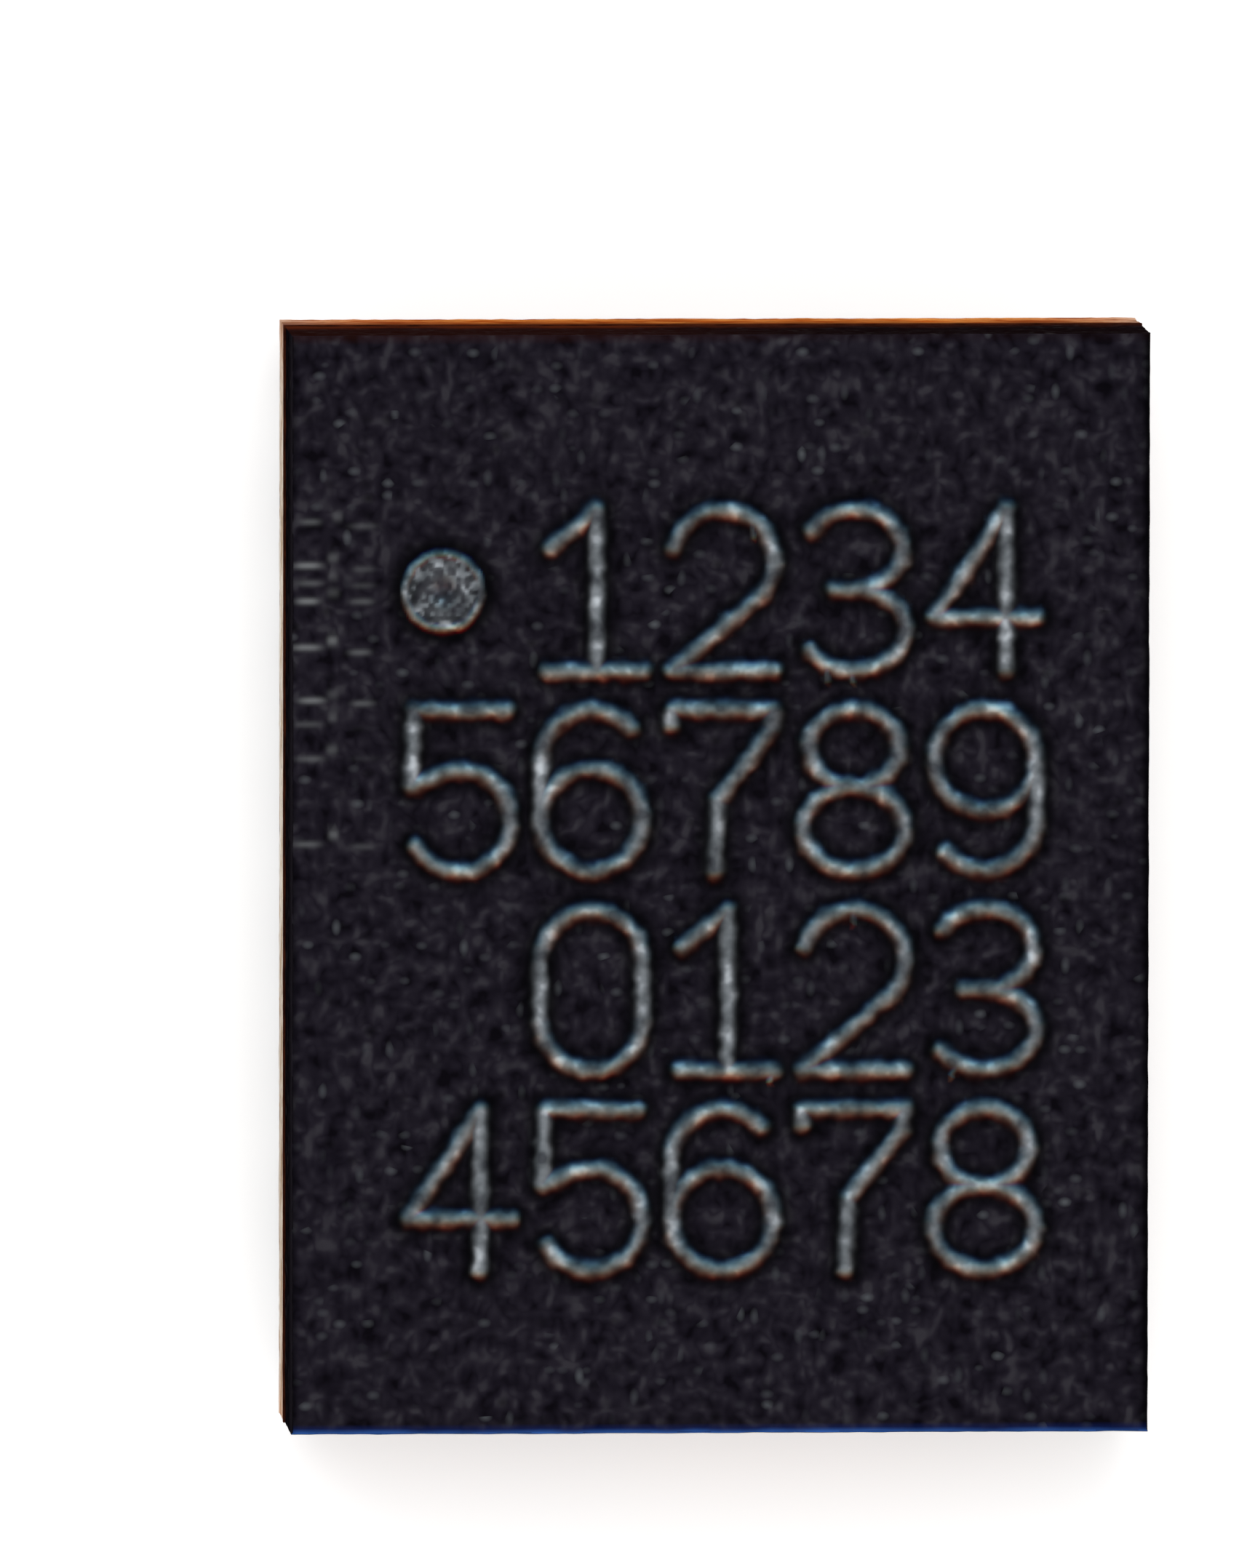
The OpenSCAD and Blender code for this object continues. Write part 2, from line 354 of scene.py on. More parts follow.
def tone(red, green, blue):
    """A colour given as it shows, in 0 to 255 levels, turned into plain light."""
    levels = (c / 255 for c in (red, green, blue))
    return tuple(c / 12.92 if c < 0.04 else ((c + 0.055) / 1.055) ** 2.4 for c in levels)


def new_material(name, **values):
    """A material with one Principled shader, its plain values set. Returns it with its nodes and shader."""
    material = bpy.data.materials.new(name)
    material.use_nodes = True
    tree = material.node_tree
    shader = tree.nodes["Principled BSDF"]
    for socket, value in values.items():
        shader.inputs[socket.replace("_", " ")].default_value = value
    return material, tree, shader


def add_node(tree, kind, inputs=None, **settings):
    """A node with its settings and inputs. An input may be a value or another node's output."""
    node = tree.nodes.new("ShaderNode" + kind)
    for key, value in settings.items():
        setattr(node, key, value)
    for key, value in (inputs or {}).items():
        if isinstance(value, bpy.types.NodeSocket):
            tree.links.new(value, node.inputs[key])
        else:
            node.inputs[key].default_value = value
    return node


def millimetres(tree, stretch=(1, 1, 1)):
    """The place on the object in millimetres, stretched along the axes."""
    place = add_node(tree, "TexCoord").outputs["Object"]
    scale = tuple(1 / (MM * s) for s in stretch)
    return add_node(tree, "Mapping", {"Vector": place, "Scale": scale}).outputs["Vector"]


def noise(tree, place, scale, detail=3.0, roughness=0.55):
    inputs = {"Vector": place, "Scale": scale, "Detail": detail, "Roughness": roughness}
    return add_node(tree, "TexNoise", inputs).outputs["Fac"]


def spread(tree, value, low, high, to_low=0.0, to_high=1.0):
    """A value's range stretched from low..high to to_low..to_high, and held there."""
    inputs = {"Value": value, "From Min": low, "From Max": high, "To Min": to_low, "To Max": to_high}
    return add_node(tree, "MapRange", inputs).outputs["Result"]


def specks(tree, stretch, scale, share):
    """Soft spots in about that share of the cells of a scattered pattern, each of its own strength."""
    inputs = {"Vector": millimetres(tree, stretch), "Scale": scale}
    cells = add_node(tree, "TexVoronoi", inputs, feature="F1")
    strength = spread(tree, cells.outputs["Color"], 1 - share, 1.0)
    return calculate(tree, "MULTIPLY", spread(tree, cells.outputs["Distance"], 0.46, 0.08), strength)


def blend_colours(tree, factor, first, second, blend_type="MIX"):
    mix = add_node(tree, "Mix", data_type="RGBA", blend_type=blend_type)
    for key, value in (("Factor", factor), ("A", first), ("B", second)):
        socket = [s for s in mix.inputs if s.name == key and s.enabled][0]
        if isinstance(value, bpy.types.NodeSocket):
            tree.links.new(value, socket)
        else:
            socket.default_value = value if isinstance(value, float) else (*value, 1.0)
    return [s for s in mix.outputs if s.enabled][0]


def calculate(tree, operation, first, second=0.0):
    node = add_node(tree, "Math", operation=operation)
    for socket, value in zip(node.inputs, (first, second)):
        if isinstance(value, bpy.types.NodeSocket):
            tree.links.new(value, socket)
        else:
            socket.default_value = value
    return node.outputs[0]


def value_of(tree, name):
    """A number that the mesh holds for each point."""
    return add_node(tree, "Attribute", attribute_name=name).outputs["Fac"]


def ramp(tree, value, stops):
    """A colour for each value, from stops of (value, red, green, blue) in shown levels."""
    node = add_node(tree, "ValToRGB", {"Fac": value})
    marks = node.color_ramp.elements
    while len(marks) < len(stops):
        marks.new(1.0)
    for mark, (place, *levels) in zip(marks, stops):
        mark.position = place
        mark.color = (*tone(*levels), 1.0)
    return node.outputs["Color"]


def add_bump(tree, shader, height, depth):
    bump = add_node(tree, "Bump", {"Height": height, "Distance": depth, "Strength": 1.0})
    tree.links.new(bump.outputs["Normal"], shader.inputs["Normal"])


def top_material():
    """Charcoal mould compound with soft pale flecks and dark pits, and its grey laser marking."""
    material, tree, shader = new_material("mould_top", Specular_IOR_Level=0.02)
    across = noise(tree, millimetres(tree, (1.15, 0.95, 1)), 21.5, 1.0, 0.45)
    upward = noise(tree, millimetres(tree, (0.9, 1.4, 1)), 21.5, 1.0, 0.45)
    grain = calculate(tree, "SUBTRACT", calculate(tree, "MAXIMUM", across, upward), 0.05)
    ground = ramp(tree, grain, [
        (0.3, 7, 5, 10), (0.41, 18, 15, 23), (0.5, 24, 21, 29), (0.58, 30, 27, 35), (0.7, 46, 44, 50),
    ])
    # Pale flecks: grains of filler, painted lighter with their glints as a painted highlight.
    ground = blend_colours(tree, specks(tree, (1.25, 0.9, 1), 27.0, 0.24), ground, tone(78, 81, 85))
    ground = blend_colours(tree, specks(tree, (0.85, 1.5, 1), 26.0, 0.2), ground, tone(74, 77, 81))
    ground = blend_colours(tree, specks(tree, (1.2, 1, 1), 22.0, 0.5), ground, tone(4, 3, 6))
    # Painted shade: near black beside the marking and along the rims.
    ground = blend_colours(tree, value_of(tree, "painted_shade"), ground, tone(1, 1, 2))
    # Painted warm glow from the laminate: brown along the +Y end of the top.
    ground = blend_colours(tree, value_of(tree, "painted_warm_glow"), ground, tone(60, 25, 14))
    ground = blend_colours(tree, value_of(tree, "scuff"), ground, tone(112, 114, 116))
    # Painted blue sheen along the -Y rim, where the edge would catch cool light.
    painted_blue_sheen = value_of(tree, "painted_blue_sheen")
    ground = blend_colours(tree, painted_blue_sheen, ground, ramp(tree, painted_blue_sheen, [(0.3, 18, 36, 98), (0.62, 52, 98, 178)]))
    beads = noise(tree, millimetres(tree), 17.0, 1.5, 0.55)
    grey = ramp(tree, beads, [
        (0.3, 68, 71, 76), (0.46, 99, 104, 108), (0.58, 124, 129, 134), (0.74, 184, 190, 196),
    ])
    # The marking's colour, with painted cool light on its +Y edges and painted warm light on its -Y edges.
    mark = add_node(tree, "Attribute", attribute_name="mark").outputs["Color"]
    marked = blend_colours(tree, 1.0, mark, grey, "MULTIPLY")
    unmarked = blend_colours(tree, 1.0, (1, 1, 1), mark, "SUBTRACT")
    kept = blend_colours(tree, 1.0, ground, unmarked, "MULTIPLY")
    colour = blend_colours(tree, 1.0, marked, kept, "ADD")
    tree.links.new(colour, shader.inputs["Base Color"])
    tree.links.new(spread(tree, grain, 0.3, 0.7, 0.74, 0.6), shader.inputs["Roughness"])
    height = calculate(tree, "ADD", grain, noise(tree, millimetres(tree), 30.0, 2.0, 0.5))
    add_bump(tree, shader, height, 0.003 * MM)
    return material


def wall_material():
    """The cap's sawn walls: black, scored along the cut, and browned at the foot of the +Y wall by a
    painted warm glow from the laminate.
    """
    material, tree, shader = new_material("mould_wall", Specular_IOR_Level=0.0, Roughness=0.85)
    saw = noise(tree, millimetres(tree, (1, 1, 0.14)), 6.0, 3.0)
    grain = noise(tree, millimetres(tree), 24.0, 3.0)
    both = calculate(tree, "MULTIPLY", calculate(tree, "ADD", saw, grain), 0.5)
    sawn = ramp(tree, both, [(0.34, 5, 4, 6), (0.46, 10, 8, 11), (0.56, 16, 14, 17), (0.66, 27, 25, 28)])
    sawn = blend_colours(tree, specks(tree, (1.1, 1.1, 0.9), 25.0, 0.26), sawn, tone(56, 53, 54))
    sawn = blend_colours(tree, specks(tree, (1, 1, 1.2), 40.0, 0.3), sawn, tone(38, 36, 38))
    sawn = blend_colours(tree, specks(tree, (1.2, 1.2, 1), 22.0, 0.5), sawn, tone(3, 2, 3))
    # Painted warm glow from the laminate: brown at the foot of the +Y wall.
    sawn = blend_colours(tree, value_of(tree, "painted_warm_glow"), sawn, tone(84, 34, 15))
    sawn = blend_colours(tree, value_of(tree, "worn"), sawn, tone(29, 26, 31))
    tree.links.new(sawn, shader.inputs["Base Color"])
    height = calculate(tree, "ADD", grain, calculate(tree, "MULTIPLY", saw, 1.5))
    add_bump(tree, shader, height, 0.004 * MM)
    return material


def laminate_material():
    """Sawn glass-fibre laminate: amber resin with pale bundles of glass, paler on the long sides."""
    material, tree, shader = new_material("sawn_laminate", Specular_IOR_Level=0.0)
    strands, long_side = value_of(tree, "glass"), value_of(tree, "long_side")
    fibres = noise(tree, millimetres(tree, (1, 1, 0.25)), 30.0, 3.0)
    stain = spread(tree, noise(tree, millimetres(tree), 2.2, 3.0), 0.35, 0.65)
    amber = blend_colours(tree, stain, tone(136, 54, 16), tone(196, 96, 32))
    amber_glass = blend_colours(tree, stain, tone(180, 88, 34), tone(234, 152, 74))
    tan = blend_colours(tree, stain, tone(176, 146, 116), tone(210, 184, 154))
    tan_glass = blend_colours(tree, stain, tone(218, 202, 184), tone(246, 238, 226))
    resin = blend_colours(tree, long_side, amber, tan)
    glass = blend_colours(tree, long_side, amber_glass, tan_glass)
    colour = blend_colours(tree, strands, resin, glass)
    colour = blend_colours(tree, spread(tree, fibres, 0.45, 0.3, 0.0, 0.5), colour, tone(96, 58, 34))
    colour = blend_colours(tree, value_of(tree, "stained"), colour, tone(92, 36, 14))
    rough_band = blend_colours(tree, spread(tree, fibres, 0.46, 0.7), tone(40, 26, 20), tone(118, 98, 84))
    colour = blend_colours(tree, value_of(tree, "bare"), colour, rough_band)
    tree.links.new(colour, shader.inputs["Base Color"])
    tree.links.new(spread(tree, fibres, 0.3, 0.7, 0.45, 0.65), shader.inputs["Roughness"])
    add_bump(tree, shader, noise(tree, millimetres(tree, (1, 1, 0.3)), 60.0, 3.0), 0.003 * MM)
    return material


def mask_material():
    """Chestnut solder mask over the underside, bright orange where it lies over copper."""
    material, tree, shader = new_material(
        "solder_mask", Specular_IOR_Level=0.25, Coat_Weight=0.08, Coat_Roughness=0.2
    )
    copper = value_of(tree, "copper")
    mottle = noise(tree, millimetres(tree), 9.0, 4.0, 0.65)
    fine = noise(tree, millimetres(tree), 34.0, 3.0)
    bare = ramp(tree, mottle, [
        (0.36, 16, 7, 5), (0.47, 48, 22, 14), (0.56, 82, 40, 24), (0.66, 124, 66, 40),
    ])
    bare = blend_colours(tree, spread(tree, fine, 0.62, 0.76), bare, tone(168, 92, 48))
    over = ramp(tree, mottle, [(0.34, 150, 66, 22), (0.5, 196, 98, 36), (0.66, 232, 142, 66)])
    over = blend_colours(tree, spread(tree, fine, 0.64, 0.76, 0.0, 0.8), over, tone(250, 200, 128))
    over = blend_colours(tree, spread(tree, fine, 0.36, 0.26, 0.0, 0.8), over, tone(92, 34, 12))
    colour = blend_colours(tree, copper, bare, over)
    tree.links.new(colour, shader.inputs["Base Color"])
    tree.links.new(spread(tree, mottle, 0.3, 0.7, 0.36, 0.55), shader.inputs["Roughness"])
    add_bump(tree, shader, calculate(tree, "ADD", mottle, fine), 0.003 * MM)
    return material


def metal_material(name, dark, light, grain, rough_low, rough_high, depth):
    """A plated or etched metal with mottled tone and grain."""
    material, tree, shader = new_material(name, Metallic=1.0)
    mottle = noise(tree, millimetres(tree), grain, 4.0, 0.6)
    colour = blend_colours(tree, spread(tree, mottle, 0.35, 0.65), dark, light)
    tree.links.new(colour, shader.inputs["Base Color"])
    tree.links.new(spread(tree, mottle, 0.3, 0.7, rough_high, rough_low), shader.inputs["Roughness"])
    add_bump(tree, shader, noise(tree, millimetres(tree), grain * 4, 3.0), depth)
    return material


def solder_material():
    """Reflowed solder: silvery and frosted in patches, pitted, and dull with flux on the crown."""
    material, tree, shader = new_material("solder", Metallic=1.0)
    frost = noise(tree, millimetres(tree), 12.0, 4.0, 0.65)
    cells = add_node(tree, "TexVoronoi", {"Vector": millimetres(tree), "Scale": 30.0}, feature="F1")
    silver = ramp(tree, frost, [
        (0.34, 112, 110, 108), (0.46, 168, 168, 167), (0.56, 206, 206, 205), (0.68, 240, 240, 238),
    ])
    blotches = noise(tree, millimetres(tree), 15.0, 3.0, 0.6)
    dull = ramp(tree, blotches, [
        (0.36, 34, 30, 30), (0.46, 92, 86, 84), (0.54, 150, 146, 144), (0.64, 226, 226, 224),
    ])
    colour = blend_colours(tree, value_of(tree, "crown"), silver, dull)
    pits = spread(tree, noise(tree, millimetres(tree), 26.0, 2.0), 0.66, 0.76, 0.0, 0.9)
    colour = blend_colours(tree, pits, colour, tone(84, 66, 54))
    tree.links.new(colour, shader.inputs["Base Color"])
    tree.links.new(spread(tree, frost, 0.3, 0.7, 0.24, 0.5), shader.inputs["Roughness"])
    height = calculate(tree, "ADD", frost, calculate(tree, "MULTIPLY", cells.outputs["Distance"], 0.8))
    add_bump(tree, shader, height, 0.006 * MM)
    return material


def plain_material(name, dark, light, grain, roughness, depth, metallic=0.0, gloss=0.5):
    """A mottled solid for the hidden layers."""
    material, tree, shader = new_material(name, Metallic=metallic, Specular_IOR_Level=gloss)
    mottle = noise(tree, millimetres(tree), grain, 4.0)
    colour = blend_colours(tree, spread(tree, mottle, 0.35, 0.65), dark, light)
    tree.links.new(colour, shader.inputs["Base Color"])
    tree.links.new(spread(tree, mottle, 0.3, 0.7, roughness, roughness + 0.12), shader.inputs["Roughness"])
    add_bump(tree, shader, noise(tree, millimetres(tree), grain * 5, 2.0), depth)
    return material


# ---------------------------------------------------------------- pieces

def top_levels(low, high, segments, dot):
    """How finely each cell of the top face is cut: most under the marking, least on plain ground."""
    nx = round((high[0] - low[0] - 2 * RIM) / TOP_CELL)
    ny = round((high[1] - low[1] - 2 * RIM) / TOP_CELL)
    x = low[0] + RIM + (np.arange(nx) + 0.5) * (high[0] - low[0] - 2 * RIM) / nx
    y = low[1] + RIM + (np.arange(ny) + 0.5) * (high[1] - low[1] - 2 * RIM) / ny
    gx, gy = (g.ravel() for g in np.meshgrid(x, y, indexing="ij"))
    near = distance_to(segments, gx, gy, MARK_REACH)
    near = np.minimum(near, np.hypot(gx - dot[0], gy - dot[1]) - DOT_R)
    levels = np.full(gx.shape, 1)
    levels[near < HALVED_WITHIN] = 2
    levels[near < FINE_WITHIN] = TOP_SPLIT
    from_rows = np.min([np.abs(high[1] - from_end - gy) for from_end, _ in SCUFF_ROWS], axis=0)
    levels[(gx < low[0] + SCUFFS_REACH) & (from_rows < SCUFF_BAND)] = TOP_SPLIT
    return levels.reshape(nx, ny)


def bell(away, half_width):
    """1 on a stroke's centre line and a half at its edge."""
    return np.exp(-0.693 * (away / half_width) ** 2.4)


def marking_at(x, y, shift, segments, spurs, dot):
    """How strongly the laser marked each point, in the strokes and in the dot, and how far inside the dot
    it lies. The outlines are moved along Y by shift, and the beads and crumbs in them are not."""
    wx = x + 0.003 * MM * WOBBLE.at(x, y, 0.03 * MM)
    wy = y + 0.003 * MM * WOBBLE.at(y, x, 0.03 * MM) + shift
    half, reach = STROKE_W / 2 * (1 + 0.16 * RIPPLE.at(x, y, 0.028 * MM)), 0.1 * MM
    stroke = bell(distance_to(segments, wx, wy, reach), half)
    stroke = np.maximum(stroke, 0.4 * bell(distance_to(spurs, wx, wy, reach), 0.4 * half))
    from_dot = np.hypot(wx - dot[0], wy - dot[1])
    inside = 1 - smooth_step(DOT_R - 0.012 * MM, DOT_R + 0.008 * MM, from_dot)
    edge = smooth_step(DOT_R - DOT_RIM, DOT_R - 0.4 * DOT_RIM, from_dot)
    crumbs = smooth_step(-0.35, 0.6, GRIT.at(x, y, 0.0125 * MM) + 0.3 * GRIT.at(y, x, 0.03 * MM))
    middle = smooth_step(0.01 * MM, 0.05 * MM, from_dot)
    mottle = (0.06 + 0.14 * middle) + (0.08 + 0.62 * middle) * crumbs
    return stroke, inside * np.maximum(mottle, edge * (0.64 + 0.5 * crumbs)), inside


def scuffs_at(x, y, low, high):
    """Short pale dashes in rows beside the -X edge, where the part was held."""
    pick = np.random.default_rng(SCUFF_SEED)
    marks = np.zeros(x.shape)
    for from_end, strength in SCUFF_ROWS:
        for start, end, rise, most, least in SCUFF_DASHES:
            share = pick.uniform(least, most)
            cx = low[0] + (start + end) / 2 * MM + pick.uniform(-0.008, 0.008) * MM
            cy = high[1] - from_end + rise * MM + pick.uniform(-0.008, 0.008) * MM
            across = np.abs(x - cx) / ((end - start) / 2 * MM * pick.uniform(0.75, 1.1))
            up = np.abs(y - cy) / (SCUFF_HALF_WIDTH * (1 + 0.6 * (rise > 0)))
            marks = np.maximum(marks, strength * share * np.exp(-across ** 3 - up ** 2))
    return marks


def cut_marking(top, marks):
    """Grooves with a low burr for the strokes, a dish for the dot, and a faintly uneven face."""
    x, y = top[:, 0], top[:, 1]
    stroke, dotted, inside_dot = marking_at(x, y, 0, *marks)
    groove = GROOVE_DEPTH * stroke * (1 + 0.25 * GRIT.at(x, y, 0.016 * MM))
    dish = DOT_DEPTH * inside_dot * (1.3 - dotted)
    burr = BURR_HEIGHT * np.exp(-((stroke - 0.16) / 0.12) ** 2)
    ground = 0.0006 * MM * (RIPPLE.at(x, y, 0.06 * MM) + GRIT.at(x, y, 0.02 * MM))
    top[:, 2] += np.minimum(burr + ground - TOP_SINK, 0) - np.maximum(groove, dish)


def roughen_walls(walls, outward):
    """Saw marks over the cap's walls, and a little more wear on the long sides."""
    along = walls[:, 0] + walls[:, 1]
    rough = 0.0012 * MM * (1 + CHIP.at(along, walls[:, 2], 0.05 * MM))
    rough += 0.0005 * MM * (1 + CHIP.at(along * 3, walls[:, 2] * 0.2, 0.02 * MM))
    rough += SIDE_WEAR * (np.abs(outward[:, 0]) > STEEP)
    walls[:, :2] -= outward * rough[:, None]


def tint_marking(piece, points, top_count, marks):
    """The marking's red, green and blue strength at each point, with the three slightly apart. This paints
    cool light on the +Y edges and warm light on the -Y edges.
    """
    tints = []
    for shift in TINT_SHIFTS:
        lines, spots, _ = marking_at(points[:, 0], points[:, 1], shift, *marks)
        tints.append(np.maximum(lines, spots))
    tints = TINT_SHARE * np.array(tints) + (1 - TINT_SHARE) * tints[1]
    tints[:, top_count:] = 0
    colours = np.concatenate([tints.T, np.ones((len(points), 1))], 1)
    attribute = piece.data.attributes.new("mark", "FLOAT_COLOR", "POINT")
    attribute.data.foreach_set("color", colours.astype(np.float32).ravel())


def wear_and_painted_light_on_mould(piece, points, outward, frame_box, marks):
    """Where the cap takes painted shade beside the marking and along its rims, is worn or scuffed, takes a
    painted warm glow from the laminate near the +Y end, and shows a painted blue sheen along its -Y rim.
    """
    low, high = frame_box
    segments, _, dot = marks
    x, y = points[:, 0], points[:, 1]
    # Painted shade: a dark band beside the strokes and the dot, along the side rims and along the -Y rim.
    away = np.minimum(
        distance_to(segments, x, y, MARK_REACH) - STROKE_W / 2,
        np.abs(np.hypot(x - dot[0], y - dot[1]) - DOT_R),
    )
    beside_marks = 0.94 * np.exp(-((away - 0.012 * MM) / (0.031 * MM)) ** 2)
    side_rims = np.maximum(
        0.3 * bell((x - low[0]).clip(0), 0.011 * MM), bell((high[0] - x).clip(0), 0.024 * MM)
    )
    end_rim = 0.6 * bell((y - low[1]).clip(0), 0.022 * MM)
    add_values(piece, "painted_shade", np.maximum.reduce([beside_marks, side_rims, end_rim]))
    # Painted blue sheen: a thin blue band along the -Y rim.
    painted_blue_sheen = bell((y - low[1]).clip(0), 0.0075 * MM) * (0.85 + 0.15 * RIPPLE.at(x, y, 0.07 * MM))
    add_values(piece, "painted_blue_sheen", painted_blue_sheen)
    height = (points[:, 2] - low[2]) / (high[2] - low[2])
    # Painted warm glow from the laminate: brown at the foot of the +Y wall and along the +Y end, fading
    # towards +X.
    foot = 0.14 + 0.8 * (1 - smooth_step(0, 0.4, height + 0.1 * GRIT.at(x, y, 0.09 * MM)))
    glow_fade = 0.25 + 0.75 * smooth_step(0.6 * MM, -0.4 * MM, x + 0.2 * MM * RIPPLE.at(x, y, 0.2 * MM))
    rim = 0.34 * bell((high[1] - y).clip(0), 0.009 * MM) * (outward[:, 1] == 0)
    add_values(piece, "painted_warm_glow", glow_fade * np.maximum(foot * (outward[:, 1] > STEEP), rim))
    add_values(piece, "worn", smooth_step(0.5, 1.05, height) * (outward[:, 0] < -STEEP))
    add_values(piece, "scuff", scuffs_at(x, y, low, high))


def mould_body(frame_box, dot, materials):
    """The moulded cap: sawn walls, a fine-grained top and the marking cut into it."""
    low, high = frame_box
    segments = marking_segments()
    marks = segments, spur_segments(segments), dot
    levels = top_levels(low, high, segments, dot)
    points, faces, top_count, outward = slab(low, high, levels, TOP_SPLIT, RIM, WALL_CELL)
    cut_marking(points[:top_count], marks)
    roughen_walls(points[top_count:], outward[top_count:])
    piece = make_piece("mould_body", points, faces, "mold_cap", materials)
    tint_marking(piece, points, top_count, marks)
    wear_and_painted_light_on_mould(piece, points, outward, frame_box, marks)
    sides = np.array([face.normal.z < STEEP for face in piece.data.polygons]).astype(np.int32)
    piece.data.polygons.foreach_set("material_index", sides)


def glass_at(wander, z, thickness):
    """How much each point of a sawn wall lies in a bundle of glass. Each ply has two rows of bundles."""
    ply_t = thickness / PLIES
    glass = np.zeros(len(z))
    for ply in range(PLIES):
        for shift, sign in ((0.0, 1), (0.5, -1)):
            middle = ply_t * (ply + 0.5 + sign * 0.2)
            across = ((wander / BUNDLE_PITCH + shift + ply * 0.23) % 1 - 0.5) * BUNDLE_PITCH
            lens = 1 - (across / (0.44 * BUNDLE_PITCH)) ** 2 - ((z - middle) / (0.24 * ply_t)) ** 2
            lens -= 0.25 * FRAY.at(wander, 0 * z + (ply + shift) * MM, 0.11 * MM)
            glass = np.maximum(glass, smooth_step(-0.2, 0.45, lens))
    return glass


def laminate_body(frame_box, material):
    """The glass-fibre core: its sawn walls show the plies, and a bare band shows round the underside."""
    low, high = frame_box
    size = high - low
    levels = np.ones([round(size[k] / CORE_CELL) for k in (0, 1)], int)
    points, faces, top_count, outward = slab(low, high, levels, 1, RIM / 2, CORE_WALL_CELL)
    along, z = points[:, 0] + points[:, 1], points[:, 2] - low[2]
    wander = along + 0.045 * MM * FRAY.at(along, 0 * z, 0.16 * MM)
    glass = glass_at(wander, z, size[2])
    rough = 0.0014 * MM * (1 + FRAY.at(along, z, 0.012 * MM)) + 0.0016 * MM * (1 - glass)
    long_side = np.abs(outward[:, 0]) > STEEP
    rise = z / size[2] + 0.12 * FRAY.at(along, z, 0.09 * MM)
    stained = smooth_step(np.where(long_side, 0.72, 0.3), 1.05, rise)
    from_corner = np.maximum(high[0] - np.abs(points[:, 0]), high[1] - np.abs(points[:, 1]))
    shared = 0.5 * np.exp(-from_corner / (0.12 * MM))
    points[top_count:, :2] -= (outward * rough[:, None])[top_count:]
    piece = make_piece("laminate_body", points, faces, "laminate_core", [material])
    glass[:top_count] = 0
    add_values(piece, "glass", glass)
    add_values(piece, "bare", points[:, 2] < low[2] + 0.0005 * MM)
    add_values(piece, "long_side", np.where(long_side, 1 - shared, shared))
    add_values(piece, "stained", 0.9 * stained)


def over_mesh(node, x, y, z):
    """1 where a line straight up from x, y, z meets a CAD node's mesh, and 0 elsewhere."""
    mesh = node.data
    tree = BVHTree.FromPolygons([v.co for v in mesh.vertices], [p.vertices for p in mesh.polygons])
    up = Vector((0, 0, 1))
    return np.array([tree.ray_cast(Vector((a, b, z)), up)[0] is not None for a, b in zip(x, y)], float)


def soften(grid, times=1):
    """Each value becomes a weighted mean of itself and its neighbours."""
    for _ in range(times):
        for axis in (0, 1):
            wide = np.concatenate([grid.take([0], axis), grid, grid.take([-1], axis)], axis)
            n = wide.shape[axis]
            grid = (wide.take(range(n - 2), axis) + 2 * grid + wide.take(range(2, n), axis)) / 4
    return grid


def mask_sheet(nodes, material):
    """The underside's solder mask, which dips between the copper and rises over it."""
    low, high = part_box("bottom_solder_mask")
    nx, ny = (round((high[k] - low[k]) / MASK_CELL) for k in (0, 1))
    levels = np.ones((nx, ny), int)
    upside_down = [Vector((low.x, low.y, -high.z)), Vector((high.x, high.y, -low.z))]
    points, faces, top_count, outward = slab(*upside_down, levels, 1, RIM / 2, MASK_WALL_CELL)
    points[:, 2] *= -1
    faces = [list(reversed(face)) for face in faces]
    x, y = points[:top_count, 0], points[:top_count, 1]
    covered = over_mesh(nodes["bottom_copper"], x, y, low.z).reshape(nx + 1, ny + 1)
    drilled = over_mesh(nodes["via_plugs"], x, y, low.z).reshape(nx + 1, ny + 1)
    copper = soften(covered, 1).ravel()
    dip = 0.009 * MM * (1 - soften(covered, 2).ravel()) + 0.004 * MM * soften(drilled, 2).ravel()
    points[:top_count, 2] += dip + 0.0006 * MM * (1 + LUMPS.at(x, y, 0.03 * MM))
    torn = 0.003 * MM * (1 + LUMPS.at(points[:, 0] + points[:, 1], points[:, 1], 0.03 * MM))
    points[top_count:, :2] -= (outward * torn[:, None])[top_count:]
    piece = make_piece("mask_sheet", points, faces, "bottom_solder_mask", [material])
    add_values(piece, "copper", np.concatenate([copper, np.zeros(len(points) - top_count)]))


def dimples(unit, pick):
    """How far each point of a unit ball is drawn in: a few small dents and a slow swell."""
    dent = np.zeros(len(unit))
    for _ in range(7):
        way = pick.normal(size=3)
        way /= np.linalg.norm(way)
        width = pick.uniform(0.12, 0.3)
        dent += pick.uniform(0.004, 0.013) * np.exp(-((1 - unit @ way) / (width * width)) ** 2)
    swell = np.zeros(len(unit))
    for _ in range(4):
        way = pick.normal(size=3)
        swell += 0.004 * (1 + np.sin(unit @ way * 2.2 + pick.uniform(0, 6))) / 2
    return dent + swell


def ring_faces(rows, n):
    """Faces over point 0 and then rows of n points: a fan, bands of quads, and a lid on the last row."""
    faces = [[0, 1 + (k + 1) % n, 1 + k] for k in range(n)]
    for row in range(rows - 1):
        start = 1 + row * n
        for k in range(n):
            m = (k + 1) % n
            faces.append([start + k, start + m, start + n + m, start + n + k])
    faces.append([1 + (rows - 1) * n + k for k in range(n)])
    return faces


